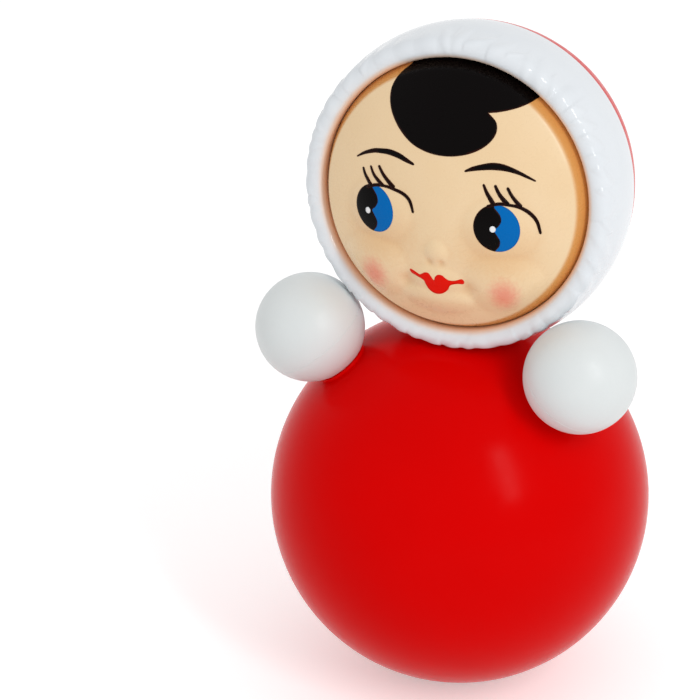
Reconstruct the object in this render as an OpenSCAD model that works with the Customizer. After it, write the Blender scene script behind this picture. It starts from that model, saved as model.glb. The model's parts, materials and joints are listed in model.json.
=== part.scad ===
// Roly-poly doll: a weighted ball body, a round head in a white bonnet and two ball hands.
// The origin is on the floor under the middle of the body, +Z is up and the face looks along -Y.
// All sizes are in millimetres.

/* [Body] */
// Outer radius of the ball body
body_r = 58; // [54:0.5:64]
// Wall of the two body shells
body_wall = 2.2; // [2:0.1:3]
// Radius of the small flat that the doll stands on
foot_r = 7; // [4:0.5:10]
// Height of the lap where the two body shells join
body_lap = 4; // [3:0.5:6]
// Radius of the flat on top of the body, under the head
neck_r = 15; // [14:0.25:16]
// Thickness of the plate under that flat
neck_plate = 2.5; // [2:0.25:4]

/* [Weight] */
// Height of the top of the iron weight above the floor
weight_top = 17; // [15:0.5:22]
// Air between the round of the weight and the shell
weight_gap = 0.4; // [0.2:0.1:1]
// Radius of the boss that carries the weight
boss_r = 6; // [5:0.5:8]
// Height of that boss above the floor
boss_top = 9; // [7:0.5:11]
// Floor left under the screw hole in the boss
boss_floor = 3; // [2.4:0.1:4]
// Radius of the screw that holds the weight
weight_screw_r = 2; // [1.5:0.1:2.5]
// Radius of that screw's head
weight_head_r = 4; // [3.5:0.1:5]
// Height of that screw's head
weight_head_h = 2.6; // [2:0.1:3.5]
// Radius of the washer under that head
weight_washer_r = 5.5; // [5.2:0.1:7]
// Thickness of that washer
weight_washer_t = 1; // [0.6:0.1:1.6]

/* [Chime] */
// Thickness of the chime base
chime_t = 3; // [2.5:0.25:5]
// Edge of the chime base left round its sockets
chime_edge = 2; // [1:0.25:4]
// Radius of the sockets that stand on the chime base
socket_r = 3; // [2.5:0.25:4]
// Height of those sockets above the base
socket_h = 4; // [3:0.5:6]
// Radius of the tone rods
tone_r = 1.25; // [1:0.05:1.6]
// Length of the shortest tone rod
tone_len = 31; // [29:0.5:36]
// Step in length from one tone rod to the next
tone_step = 3.5; // [1:0.5:5]
// Radius of the striker's bob
bob_r = 6; // [4:0.25:7]
// Height of the middle of the bob above the chime base
bob_rise = 26; // [24:0.5:28]
// Radius of the striker's rod
striker_r = 1; // [0.8:0.1:1.2]
// Radius of the striker's eye
striker_eye_r = 3.1; // [2.6:0.1:3.6]
// Thickness of the striker's eye
striker_eye_t = 3; // [2:0.25:4]
// Swing of the striker to each side, in degrees
striker_swing = 23; // [10:1:24]
// Radius of the pin that carries the striker
link_pin_r = 1; // [0.8:0.1:1.3]
// Distance between the two pivots of the striker
link_len = 10; // [9:0.5:14]
// Width of the link along its lower pin
link_w = 8; // [7:0.5:10]
// Depth of the link across its lower pin
link_d = 6; // [5:0.5:7]
// Radius of the link's upper eye
link_eye_r = 3.5; // [3:0.1:4]
// Swing of the link to front and back, in degrees
link_swing = 18; // [8:1:20]
// Air left between the bob and a tone rod at the end of a swing
strike_gap = 0.5; // [0.3:0.1:1]

/* [Neck] */
// Radius of the stem under the head
stem_r = 7; // [6:0.25:7.5]
// Length of the neck bush round that stem
bush_len = 10; // [8:0.5:13]
// Radius of the bush where it sits in the neck plate
bush_r = 9; // [8.6:0.1:10]
// Radius of the skirt of the bush
skirt_r = 12; // [11.6:0.1:13]
// Wall of that skirt
skirt_wall = 2; // [1.4:0.1:2.2]
// Length of the skirt below the hanger pin
skirt_end = 4; // [3:0.5:6]
// Radius of the hanger pin
hanger_pin_r = 1.25; // [1:0.05:1.6]
// Room between the neck screw and the link below it
pin_room = 3; // [2:0.5:5]
// Air between the neck washer and the skirt round it
washer_air = 0.7; // [0.4:0.1:1.5]
// Thickness of the neck washer
neck_washer_t = 1.2; // [0.8:0.1:2]
// Radius of the neck screw
neck_screw_r = 1.6; // [1.3:0.1:2]
// Length of the neck screw under its head
neck_screw_len = 14; // [10:0.5:16]
// Radius of the neck screw's head
neck_head_r = 3.2; // [2.8:0.1:4]
// Height of the neck screw's head
neck_head_h = 2.2; // [1.6:0.1:3]
// Air between the top of the body and the head
neck_gap = 0.4; // [0.3:0.05:0.8]
// Radius of the boss inside the head, above the stem
head_boss_r = 9.2; // [8:0.2:10]
// Height of that boss
head_boss_h = 5; // [4.5:0.1:6]
// Air between that boss and the bonnet and face round it
boss_gap = 0.4; // [0.2:0.1:1]

/* [Head] */
// Outer radius of the hood and the bonnet
head_r = 47.8; // [46:0.1:50]
// Wall of the hood and the bonnet
head_wall = 2; // [1.6:0.1:2.4]
// Radius of the flat under the head
head_flat_r = 14.5; // [13.6:0.1:14.8]
// Upward tilt of the face, in degrees
face_tilt = 4.5; // [3:0.25:7]
// Distance of the hood's seam behind the middle of the head
hood_seam = 8.3; // [7:0.1:10]
// Length of the hood's collar on each side of the seam
collar_len = 4.8; // [3.5:0.1:6]
// Thickness of that collar
collar_t = 1.7; // [1.2:0.1:2.2]
// Air round the collar
collar_gap = 0.15; // [0.1:0.05:0.4]

/* [Bonnet rim] */
// Distance of the rim in front of the middle of the head
rim_fore = 12.05; // [11:0.05:14]
// Radius of the roll of the rim
rim_r = 3.2; // [2.8:0.1:3.6]
// How far the rim stands out of the round of the bonnet
rim_proud = 0.35; // [0.2:0.05:0.6]
// Number of pleats round the rim
pleats = 52; // [36:2:60]
// Depth of a pleat
pleat_depth = 0.5; // [0.3:0.1:0.7]
// Radius of the hollow of a pleat
pleat_r = 1.6; // [1.2:0.1:2]

/* [Face plate] */
// Width of the gutter between the face and the rim
gutter = 0.5; // [0.3:0.1:1]
// Wall of the face plate
face_wall = 2; // [1.5:0.1:2.5]
// Height of the face's dome above its edge
face_rise = 16; // [12:0.5:18]
// Height of the edge of the dome above its flange
face_edge = 2.2; // [1:0.1:3]
// Thickness of the flange behind the rim
flange_t = 2.5; // [2:0.1:3.5]
// Thickness of the skirt behind the flange
skirt_t = 2; // [1.5:0.1:2.5]
// Distance of an eye from the middle line of the face
eye_x = 18.5; // [16:0.5:21]
// Height of the eyes above the middle of the face
eye_y = -4.4; // [-8:0.2:0]
// Radius of the swelling under an eye
eye_r = 12; // [10:0.5:14]
// Height of the swelling under an eye
eye_h = 1; // [0.6:0.1:1.4]
// Distance of a cheek from the middle line of the face
cheek_x = 18; // [16:0.5:20]
// Height of the cheeks above the middle of the face
cheek_y = -20; // [-22:0.5:-18]
// Radius of the swelling of a cheek
cheek_r = 14; // [11:0.5:16]
// Height of the swelling of a cheek
cheek_h = 1; // [0.6:0.1:1.4]
// Height of the nose above the middle of the face
nose_y = -16.5; // [-18:0.5:-12]
// Radius of the nose
nose_r = 4.5; // [3.5:0.1:5.5]
// How far the nose stands out
nose_h = 1.8; // [1:0.1:2.5]
// Height of the chin above the middle of the face
chin_y = -29; // [-31:0.5:-26]
// Radius of the swelling of the chin
chin_r = 9; // [7:0.5:11]
// Height of the swelling of the chin
chin_h = 0.8; // [0.5:0.1:1.2]

/* [Hands] */
// Outer radius of a hand
hand_r = 16.4; // [15:0.2:18]
// Wall of a hand
hand_wall = 2; // [1.6:0.1:2.4]
// Distance of a hand's seam from its middle, towards the sleeve
hand_seam = 3.5; // [2:0.25:5]
// Height of the lap inside that seam
hand_lap = 2.5; // [2:0.25:3.5]
// Width of the hairline at the seam
hand_hairline = 0.06; // [0.04:0.01:0.1]
// Thickness of the hub that turns on the sleeve's post
hub_t = 3; // [2:0.25:4]
// How far a hand stands out round the end of its sleeve
hand_step = 8; // [7.6:0.1:8.4]
// Height of a sleeve above the body at its edge
sleeve_rise = 0.98; // [0.8:0.02:2]
// Radius of the sleeve's spigot in the body
spigot_r = 6.5; // [5.5:0.25:7.25]
// Length of that spigot inside the body
spigot_len = 2; // [1:0.25:4]
// Radius of the sleeve's post
post_r = 4; // [3.4:0.1:5]
// Air between a sleeve and its hand
hand_gap = 0.3; // [0.2:0.05:0.6]
// Air between a hand and the bonnet
bonnet_gap = 0.5; // [0.4:0.05:1]
// Turn of the arms from the sides to the front, in degrees
arm_forward = 24; // [15:1:32]
// Radius of the retainer inside a hand
retainer_r = 7; // [6:0.25:8]
// Thickness of the retainer
retainer_t = 1.6; // [1:0.1:2.5]
// Radius of the retainer's plug
plug_r = 2; // [1.5:0.1:2.4]
// Length of the retainer's plug
plug_len = 5; // [3:0.5:6]

/* [Fits] */
// Radial air of a turning fit
run_fit = 0.05; // [0.02:0.01:0.1]
// Radial air of a fixed fit
snug_fit = 0.03; // [0.01:0.01:0.05]
// Radial air of a screw hole
screw_fit = 0.2; // [0.1:0.05:0.4]
// Play along a turning fit
end_play = 0.2; // [0.1:0.05:0.4]

/* [Hidden] */
$fn = 96;

// Spare length that carries a cut right through a face
through = 1;

// Heights in the body
body_in = body_r - body_wall;
body_z = sqrt(body_r * body_r - foot_r * foot_r);
lap_r = body_r - body_wall / 2;
neck_z = body_z + sqrt(body_r * body_r - neck_r * neck_r);
seat_z = neck_z + neck_gap;

// Radii inside the skirt of the bush
skirt_in_r = skirt_r - skirt_wall;
neck_washer_r = skirt_in_r - washer_air;

// Heights of the neck and of the striker's pivots
shoulder_z = seat_z - bush_len;
stem_z = shoulder_z - end_play;
neck_washer_z = stem_z - neck_washer_t;
neck_head_z = neck_washer_z - neck_head_h;
hanger_z = neck_head_z - pin_room - link_eye_r;
link_pin_z = hanger_z - link_len;

// Places in the chime
chime_top = weight_top + chime_t;
bob_z = chime_top + bob_rise;
striker_len = link_pin_z - bob_z;
strike_air = bob_r + tone_r + strike_gap;
tone_x = striker_len * sin(striker_swing) + strike_air;
tone_y = (link_len + striker_len) * sin(link_swing) + strike_air;
chime_r = max(tone_x, tone_y) + socket_r + chime_edge;
tone_foot_z = weight_top + chime_t / 2;
slot_w = striker_eye_t + 2 * end_play;

// Places in the head, along the face axis from the middle of the head
head_in = head_r - head_wall;
head_z = seat_z + sqrt(head_r * head_r - head_flat_r * head_flat_r);
head_reach = head_r + rim_proud;
rim_c = sqrt(pow(head_reach - rim_r, 2) - rim_fore * rim_fore);
opening_r = rim_c - rim_r;
ledge_y = rim_fore - rim_r;
flange_y = ledge_y - flange_t;
collar_r = sqrt(head_in * head_in - hood_seam * hood_seam) - collar_gap;
collar_y = collar_len - hood_seam;
face_r = opening_r - gutter;
face_y = ledge_y + face_edge;
face_skirt_r = sqrt(head_in * head_in - pow(max(hood_seam, ledge_y), 2)) - collar_gap;

// Places along an arm, from the middle of the body
sleeve_r = hand_r - hand_step;
hand_flat = sqrt(hand_r * hand_r - sleeve_r * sleeve_r);
sleeve_top = sqrt(body_r * body_r - sleeve_r * sleeve_r) + sleeve_rise;
hand_face = sleeve_top + hand_gap;
arm_reach = hand_face + hand_flat;
post_top = hand_face + hub_t + end_play;
seam_a = arm_reach - hand_seam;
hand_in = hand_r - hand_wall;
hand_lap_r = sqrt(hand_r * hand_r - hand_seam * hand_seam) - hand_wall / 2;

// The arm's angle from the vertical that leaves the wanted air under the bonnet
head_rise = head_z - body_z;
hand_to_head = head_reach + hand_r + bonnet_gap;
arm_lean = acos((arm_reach * arm_reach + head_rise * head_rise - hand_to_head * hand_to_head)
                / (2 * arm_reach * head_rise));

// Swellings of the face: place across and up from its middle, radius and height
swellings = [
    [-eye_x, eye_y, eye_r, eye_h], [eye_x, eye_y, eye_r, eye_h],
    [-cheek_x, cheek_y, cheek_r, cheek_h], [cheek_x, cheek_y, cheek_r, cheek_h],
    [0, nose_y, nose_r, nose_h], [0, chin_y, chin_r, chin_h]
];
dome_steps = 18;

// A tube on the Z axis, from one height to another
module tube(outer, inner, low, high) {
    difference() {
        translate([0, 0, low]) cylinder(r = outer, h = high - low);
        translate([0, 0, low - through]) cylinder(r = inner, h = high - low + 2 * through);
    }
}

// A rod on the Z axis, from one height to another
module rod(radius, low, high) {
    translate([0, 0, low]) cylinder(r = radius, h = high - low);
}

// The part of a ball between two heights above its middle
module ball_slice(radius, low, high) {
    intersection() {
        sphere(r = radius);
        rod(radius + through, low, high);
    }
}

// The head's own axes: +Z along the face axis, +Y up the face
module on_head() translate([0, 0, head_z]) rotate([90 - face_tilt, 0, 0]) children();

// An arm's own axis, from the middle of the body: side is 1 for the right and -1 for the left
module on_arm(side) {
    turn = side > 0 ? -arm_forward : 180 + arm_forward;
    translate([0, 0, body_z]) rotate([0, arm_lean, turn]) children();
}

// A slotted screw that points down, with the underside of its head at the origin
module slotted_screw(radius, length, head_radius, head_h) difference() {
    union() {
        rod(radius, -length, head_h);
        rod(head_radius, 0, head_h);
    }
    translate([0, 0, head_h]) cube([2 * head_radius + through, head_h / 3, head_h], center = true);
}

module body_lower_shell() color("red") difference() {
    union() {
        translate([0, 0, body_z]) difference() {
            ball_slice(body_r, -body_z, 0);
            sphere(r = body_in);
        }
        tube(lap_r - snug_fit, body_in, body_z, body_z + body_lap);
        rod(boss_r, boss_floor / 2, boss_top);
    }
    rod(weight_screw_r + snug_fit, boss_floor, boss_top + through);
}

module body_upper_shell() color("red") difference() {
    translate([0, 0, body_z]) difference() {
        ball_slice(body_r, 0, neck_z - body_z);
        ball_slice(body_in, -through, neck_z - neck_plate - body_z);
    }
    rod(lap_r, body_z - through, body_z + body_lap + end_play);
    rod(bush_r + snug_fit, neck_z - neck_plate - through, neck_z + through);
    for (side = [-1, 1])
        on_arm(side) rod(spigot_r + snug_fit, body_in - 2 * body_wall, body_r + through);
}

module ballast_weight() color("dimgray") difference() {
    translate([0, 0, body_z]) ball_slice(body_in - weight_gap, -body_r, weight_top - body_z);
    rod(boss_r + weight_gap, -through, boss_top);
    rod(weight_screw_r + screw_fit, -through, weight_top + through);
}

module ballast_washer() color("silver")
    tube(weight_washer_r, weight_screw_r + screw_fit, chime_top, chime_top + weight_washer_t);

module ballast_screw() color("silver")
    translate([0, 0, chime_top + weight_washer_t])
        slotted_screw(weight_screw_r, chime_top + weight_washer_t - boss_floor - end_play,
                      weight_head_r, weight_head_h);

// Place of a tone rod: the first two stand at the sides, the others at the back and front
function tone_place(i) = [[tone_x, 0], [-tone_x, 0], [0, tone_y], [0, -tone_y]][i];

module chime_base() color("silver") difference() {
    union() {
        rod(chime_r, weight_top, chime_top);
        for (i = [0:3]) translate(tone_place(i)) rod(socket_r, weight_top, chime_top + socket_h);
    }
    rod(weight_screw_r + screw_fit, weight_top - through, chime_top + through);
    for (i = [0:3])
        translate(tone_place(i))
            rod(tone_r + snug_fit, tone_foot_z, chime_top + socket_h + through);
}

module tone_rod(i) color("silver")
    translate(tone_place(i)) rod(tone_r, tone_foot_z, tone_foot_z + tone_len + i * tone_step);

module neck_bush() color("ivory") difference() {
    union() {
        rod(bush_r, neck_z - neck_plate - through, seat_z);
        rod(skirt_r, hanger_z - skirt_end, neck_z - neck_plate);
    }
    rod(stem_r + run_fit, shoulder_z - through, seat_z + through);
    rod(skirt_in_r, hanger_z - skirt_end - through, shoulder_z);
    translate([0, 0, hanger_z]) rotate([0, 90, 0])
        rod(hanger_pin_r + snug_fit, -skirt_r - through, skirt_r + through);
}

module hanger_pin() color("silver")
    translate([0, 0, hanger_z]) rotate([0, 90, 0]) rod(hanger_pin_r, -skirt_r, skirt_r);

// Half length of the link's upper eye, which fills the skirt but for its play
link_eye_half = sqrt(skirt_in_r * skirt_in_r - link_eye_r * link_eye_r) - 2 * end_play;

module striker_link() color("lightgray") difference() {
    union() {
        translate([0, 0, hanger_z]) rotate([0, 90, 0]) rod(link_eye_r, -link_eye_half, link_eye_half);
        translate([-link_d / 2, -link_w / 2, link_pin_z - striker_eye_r])
            cube([link_d, link_w, link_len + striker_eye_r]);
    }
    translate([0, 0, hanger_z]) rotate([0, 90, 0])
        rod(hanger_pin_r + run_fit, -skirt_r, skirt_r);
    translate([0, 0, link_pin_z]) rotate([90, 0, 0]) rod(link_pin_r + snug_fit, -link_w, link_w);
    translate([-link_d, -slot_w / 2, link_pin_z - 2 * striker_eye_r])
        cube([2 * link_d, slot_w, 3 * striker_eye_r + 2 * end_play]);
}

module link_pin() color("silver")
    translate([0, 0, link_pin_z]) rotate([90, 0, 0]) rod(link_pin_r, -link_w / 2, link_w / 2);

module striker_rod() color("silver") difference() {
    union() {
        translate([0, 0, link_pin_z]) rotate([90, 0, 0])
            rod(striker_eye_r, -striker_eye_t / 2, striker_eye_t / 2);
        rod(striker_r, bob_z, link_pin_z - link_pin_r - run_fit);
    }
    translate([0, 0, link_pin_z]) rotate([90, 0, 0])
        rod(link_pin_r + run_fit, -striker_eye_t, striker_eye_t);
}

module striker_bob() color("gold") difference() {
    translate([0, 0, bob_z]) sphere(r = bob_r);
    rod(striker_r + snug_fit, bob_z, bob_z + bob_r + through);
}

// Room for the head's boss, cut out of what passes round it
module boss_room()
    rod(head_boss_r + boss_gap, seat_z - 2 * head_wall, seat_z + head_boss_h + boss_gap);

// The half space under the head's flat
module under_head() rod(head_r, seat_z - head_r, seat_z);

module hood_shell() color("red") difference() {
    union() {
        difference() {
            on_head() union() {
                difference() {
                    ball_slice(head_r, -head_r - through, -hood_seam);
                    sphere(r = head_in);
                }
                tube(collar_r, collar_r - collar_t, -hood_seam - collar_len, collar_y);
            }
            under_head();
        }
        rod(head_boss_r, seat_z, seat_z + head_boss_h);
        rod(stem_r, stem_z, seat_z + through);
    }
    rod(neck_screw_r + snug_fit, stem_z - through, neck_washer_z + neck_screw_len + end_play);
}

// One hollow between two pleats, on the shoulder of the rim
module pleat_hollow() {
    translate([rim_c, 0, rim_fore]) rotate([0, 45, 0])
        translate([0, 0, rim_r + pleat_r - pleat_depth]) rotate([0, 90, 0])
            cylinder(r = pleat_r, h = 2 * rim_r, center = true);
}

// Section of the bonnet through the face axis: a round wall that ends in the rolled rim
module bonnet_section() difference() {
    union() {
        intersection() {
            circle(r = head_r);
            translate([0, -hood_seam]) square([head_r, hood_seam + rim_fore]);
        }
        translate([rim_c, rim_fore]) circle(r = rim_r);
    }
    intersection() {
        circle(r = head_in);
        translate([0, -hood_seam - through]) square([head_r, hood_seam + through + ledge_y]);
    }
    translate([-through, -head_r]) square([through + opening_r, 2 * head_r]);
}

module bonnet_shell() color("white") difference() {
    on_head() difference() {
        rotate_extrude() bonnet_section();
        for (i = [0:pleats - 1]) rotate([0, 0, 360 * (i + 0.5) / pleats]) pleat_hollow();
    }
    under_head();
    boss_room();
}

// Points of a quarter of the dome's outline, from its top to its edge
function dome(radius, rise) = [for (i = [0:dome_steps])
    [radius * sin(90 * i / dome_steps), face_y + rise * cos(90 * i / dome_steps)]];

// How much of its height the dome keeps at a place across and up the face
function dome_share(x, y) = sqrt(1 - (x * x + y * y) / (face_r * face_r));

// Direction straight out of the dome at that place
function dome_out(x, y) =
    let (slope = face_rise / (face_r * face_r * dome_share(x, y)), out = [slope * x, slope * y, 1])
    out / norm(out);

// Middle of the ball that swells out of the dome there
function swelling_c(x, y, radius, height) =
    [x, y, face_y + face_rise * dome_share(x, y)] + dome_out(x, y) * (height - radius);

// The dome of the face, filled down to the given depth
module face_dome(radius, rise, low)
    rotate_extrude() polygon(concat([[0, low]], dome(radius, rise), [[radius, low]]));

module face_plate() color("navajowhite") difference() {
    on_head() union() {
        difference() {
            union() {
                face_dome(face_r, face_rise, flange_y);
                rod(face_skirt_r, flange_y, ledge_y);
                for (s = swellings) translate(swelling_c(s[0], s[1], s[2], s[3])) sphere(r = s[2]);
            }
            face_dome(face_r - face_wall, face_rise - face_wall, flange_y - through);
            rod(face_skirt_r, -head_r, flange_y);
        }
        tube(face_skirt_r, face_skirt_r - skirt_t, collar_y, flange_y + flange_t / 2);
    }
    boss_room();
}

module neck_washer() color("silver")
    tube(neck_washer_r, neck_screw_r + screw_fit, neck_washer_z, stem_z);

module neck_screw() color("silver")
    translate([0, 0, neck_washer_z]) rotate([180, 0, 0])
        slotted_screw(neck_screw_r, neck_screw_len, neck_head_r, neck_head_h);

module sleeve(side) color("red") on_arm(side) difference() {
    union() {
        difference() {
            rod(sleeve_r, body_in, sleeve_top);
            sphere(r = body_r + snug_fit);
        }
        rod(spigot_r, body_in - spigot_len, sleeve_top);
        rod(post_r, body_r, post_top);
    }
    rod(plug_r + snug_fit, post_top - plug_len - end_play, post_top + through);
}

module hand_inner(side) color("white") on_arm(side) difference() {
    union() {
        translate([0, 0, arm_reach]) difference() {
            ball_slice(hand_r, -hand_flat, -hand_seam - hand_hairline);
            ball_slice(hand_in, hub_t - hand_flat, hand_r);
        }
        tube(hand_lap_r - snug_fit, hand_lap_r - hand_wall / 2, seam_a - hand_wall, seam_a + hand_lap);
    }
    rod(post_r + run_fit, hand_face - through, hand_face + hub_t + through);
}

module hand_outer(side) color("white") on_arm(side) difference() {
    translate([0, 0, arm_reach]) difference() {
        ball_slice(hand_r, -hand_seam, hand_r + through);
        sphere(r = hand_in);
    }
    rod(hand_lap_r, seam_a - through, seam_a + hand_lap + end_play);
}

module hand_retainer(side) color("ivory") on_arm(side) union() {
    rod(retainer_r, post_top, post_top + retainer_t);
    rod(plug_r, post_top - plug_len, post_top + retainer_t);
}

body_lower_shell();
body_upper_shell();
ballast_weight();
ballast_screw();
ballast_washer();
chime_base();
tone_rod(0);  // tone_rod_1
tone_rod(1);  // tone_rod_2
tone_rod(2);  // tone_rod_3
tone_rod(3);  // tone_rod_4
neck_bush();
hanger_pin();
striker_link();
link_pin();
striker_rod();
striker_bob();
hood_shell();
bonnet_shell();
face_plate();
neck_screw();
neck_washer();
sleeve(-1);  // sleeve_left
hand_inner(-1);  // hand_inner_left
hand_outer(-1);  // hand_outer_left
hand_retainer(-1);  // hand_retainer_left
sleeve(1);  // sleeve_right
hand_inner(1);  // hand_inner_right
hand_outer(1);  // hand_outer_right
hand_retainer(1);  // hand_retainer_right
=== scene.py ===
# %% [markdown]
# # A roly-poly doll
# The doll is a moulded toy that rights itself: a weighted red ball, a round head in a white bonnet
# with a painted face, and two white ball hands. The solids, their sizes and their joints come from the
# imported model. This script gives them their looks, one kind of piece at a time. Outlines are written in
# millimetres, and one matrix takes each finished mesh to its place in the frame, in metres.

# %% Load the frame
import json
import math
import random
from bisect import bisect_right
from functools import lru_cache

import bmesh
import bpy
from mathutils import Matrix, Vector
from mathutils.geometry import interpolate_bezier


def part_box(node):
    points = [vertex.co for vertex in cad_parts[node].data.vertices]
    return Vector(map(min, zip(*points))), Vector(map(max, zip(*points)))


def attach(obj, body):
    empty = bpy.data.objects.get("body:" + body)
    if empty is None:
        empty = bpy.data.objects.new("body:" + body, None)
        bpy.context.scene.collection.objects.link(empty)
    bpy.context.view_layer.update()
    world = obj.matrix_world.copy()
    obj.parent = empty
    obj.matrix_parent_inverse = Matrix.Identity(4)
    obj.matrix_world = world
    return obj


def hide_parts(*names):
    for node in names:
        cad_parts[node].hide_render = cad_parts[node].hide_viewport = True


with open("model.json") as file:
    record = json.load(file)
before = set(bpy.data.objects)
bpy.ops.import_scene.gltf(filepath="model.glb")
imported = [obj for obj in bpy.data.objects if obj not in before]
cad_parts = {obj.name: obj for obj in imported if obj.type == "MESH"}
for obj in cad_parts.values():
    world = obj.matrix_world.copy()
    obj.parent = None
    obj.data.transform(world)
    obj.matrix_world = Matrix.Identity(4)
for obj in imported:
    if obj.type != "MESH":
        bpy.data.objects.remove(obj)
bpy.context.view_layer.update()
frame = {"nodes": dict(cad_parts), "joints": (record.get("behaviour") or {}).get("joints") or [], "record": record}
MM = 0.001

# %% [markdown]
# ## The view
# The photograph was taken from a little to the doll's left and from above, with a long lens. The camera
# looks at a point beside the doll, because the doll stands right of the middle of the picture, and it is
# rolled a little, because the doll leans to the right there. A camera object needs only a place, a
# direction and a lens, so no helper object is used to aim it.

# %% Camera
CAMERA_AT = Vector((0.2289, -0.6385, 0.4222))
LOOK_AT = Vector((-0.0327, -0.0105, 0.1044))
CAMERA_LENS = 128.2
CAMERA_ROLL = math.radians(0.75)

scene = bpy.context.scene
camera = bpy.data.objects.new("camera", bpy.data.cameras.new("camera"))
camera.data.lens = CAMERA_LENS
camera.data.sensor_width = 36
camera.location = CAMERA_AT
camera.rotation_mode = "QUATERNION"
aim = (LOOK_AT - CAMERA_AT).to_track_quat("-Z", "Y").to_matrix()
camera.rotation_quaternion = (aim @ Matrix.Rotation(CAMERA_ROLL, 3, "Z")).to_quaternion()
scene.collection.objects.link(camera)
scene.camera = camera
scene.view_settings.view_transform = "Standard"
print("camera", round((LOOK_AT - CAMERA_AT).length, 3), "m from the point it looks at")

# %% [markdown]
# ## Sizes from the frame
# Everything that moves or fits is already decided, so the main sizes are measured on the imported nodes.
# `span` says how far a node reaches along an axis. Each part of the doll then gets a matrix for its own
# axes: the body's and the arms' run out from the middle of the ball, the head's run out of the face.

# %% Measures and axes
def span(node, axis, origin):
    """How far a node reaches along an axis, in millimetres from the origin."""
    reach = [(v.co - origin).dot(axis) / MM for v in frame["nodes"][node].data.vertices]
    return min(reach), max(reach)


UP = Vector((0, 0, 1))
FACE_TILT = math.radians(4.5)
JOINT = {joint["name"]: joint for joint in frame["joints"]}

body_low, body_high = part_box("body_upper_shell")
BODY_R = (body_high.x - body_low.x) / 2 / MM
BODY_MID = Vector((0, 0, body_low.z))
BODY = Matrix.Translation(BODY_MID) @ Matrix.Scale(MM, 4)

bonnet_low, bonnet_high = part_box("bonnet_shell")
HEAD_R = (bonnet_high.x - bonnet_low.x) / 2 / MM
HEAD_MID = Vector((0, 0, bonnet_high.z - HEAD_R * MM))
HEAD_TURN = Matrix.Rotation(math.radians(90) - FACE_TILT, 4, "X")
HEAD = Matrix.Translation(HEAD_MID) @ HEAD_TURN @ Matrix.Scale(MM, 4)
FACE_AXIS = HEAD_TURN.to_3x3() @ UP
SEAT_Z = JOINT["head_turn"]["pos_m"][2]
SEAM_D, RIM_FRONT = span("bonnet_shell", FACE_AXIS, HEAD_MID)
print(f"body radius {BODY_R:.2f} mm, head radius {HEAD_R:.2f} mm")
print(f"along the face axis the bonnet runs from {SEAM_D:.2f} to {RIM_FRONT:.2f} mm")

# %% [markdown]
# ## Turned shells
# The body, the head and the hands are round mouldings, so their natural beginning is half a section
# that is spun about an axis. A Screw modifier could spin it too, but bmesh leaves a plain mesh that can be
# cut and pushed afterwards. `arc` gives the round stretches of such a section and `lathe` spins it. A full
# spin slows down badly with many steps, so one sector is spun, copied round and welded.

# %% Sections and the lathe
SECTORS = 8
WELD = 0.001


def arc(middle, radius, start, end, steps):
    """Points of a round stretch of a section. Angles are in degrees from the axis of the lathe."""
    angles = [math.radians(start + (end - start) * i / steps) for i in range(steps + 1)]
    return [(radius * math.sin(a) + middle[0], radius * math.cos(a) + middle[1]) for a in angles]


def lathe(section, steps, closed=True):
    """Spins a half section of (radius, height) points about the Z axis."""
    bm = bmesh.new()
    points = [bm.verts.new((radius, 0, height)) for radius, height in section]
    ends = zip(points, points[1:] + points[:1] if closed else points[1:])
    edges = [bm.edges.new(pair) for pair in ends]
    sector = math.tau / SECTORS
    about_axis = {"cent": (0, 0, 0), "axis": UP}
    bmesh.ops.spin(bm, geom=points + edges, angle=sector, steps=steps // SECTORS, **about_axis)
    parts = bm.verts[:] + bm.edges[:] + bm.faces[:]
    rest = SECTORS - 1
    bmesh.ops.spin(bm, geom=parts, angle=sector * rest, steps=rest, use_duplicate=True, **about_axis)
    bmesh.ops.remove_doubles(bm, verts=bm.verts, dist=WELD)
    bmesh.ops.dissolve_degenerate(bm, edges=bm.edges, dist=WELD)
    bmesh.ops.recalc_face_normals(bm, faces=bm.faces)
    return bm


# %% [markdown]
# A mesh becomes part of the doll in two steps. `add_object` takes it to its place in the frame. `add_piece`
# shades it smooth but for its sharp edges, lets it ride on its body and hides the solids that it stands for.
# Some shapes can't be spun, such as a hole beside the axis, so `carve` and `cut_room` join and cut closed
# meshes with the exact boolean.

# %% Pieces, joins and cuts
def add_object(bm, name, place):
    """Turns a bmesh into an object whose place is in its mesh."""
    bm.transform(place)
    mesh = bpy.data.meshes.new(name)
    bm.to_mesh(mesh)
    bm.free()
    piece = bpy.data.objects.new(name, mesh)
    scene.collection.objects.link(piece)
    return piece


def add_piece(piece, material, body, stands_for=(), sharp=30):
    """Finishes a piece and lets it ride on its body."""
    piece.data.shade_smooth()
    piece.data.set_sharp_from_angle(angle=math.radians(sharp))
    piece.data.materials.clear()
    piece.data.materials.append(material)
    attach(piece, body)
    if stands_for:
        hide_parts(*stands_for)
    print(f"{piece.name}: {len(piece.data.polygons)} faces on {body}")
    return piece


def carve(target, tool, how):
    """Joins or cuts two closed objects, and keeps the result as the first one's mesh."""
    step = target.modifiers.new(how, "BOOLEAN")
    step.operation = how
    step.solver = "EXACT"
    step.object = tool
    graph = bpy.context.evaluated_depsgraph_get()
    result = bpy.data.meshes.new_from_object(target.evaluated_get(graph))
    target.modifiers.remove(step)
    target.data = result
    bpy.data.objects.remove(tool)


def cut_room(target, radius, low, high, place, steps):
    """Cuts a round room into a piece, from one height to another along the axis of a place."""
    section = [(0, low), (radius, low), (radius, high), (0, high)]
    carve(target, add_object(lathe(section, steps, closed=False), "room", place), "DIFFERENCE")


# %% [markdown]
# ## Finishes
# Each finish is a small tree of shader nodes. Building a tree by hand takes many lines that look alike, so
# a few helpers shorten them. `put` adds a node and fills its sockets, either with a value or with a link.
# `blend_colours` and `remap` add the two nodes used most, and `colour` takes a colour as a screen shows it.

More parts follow.
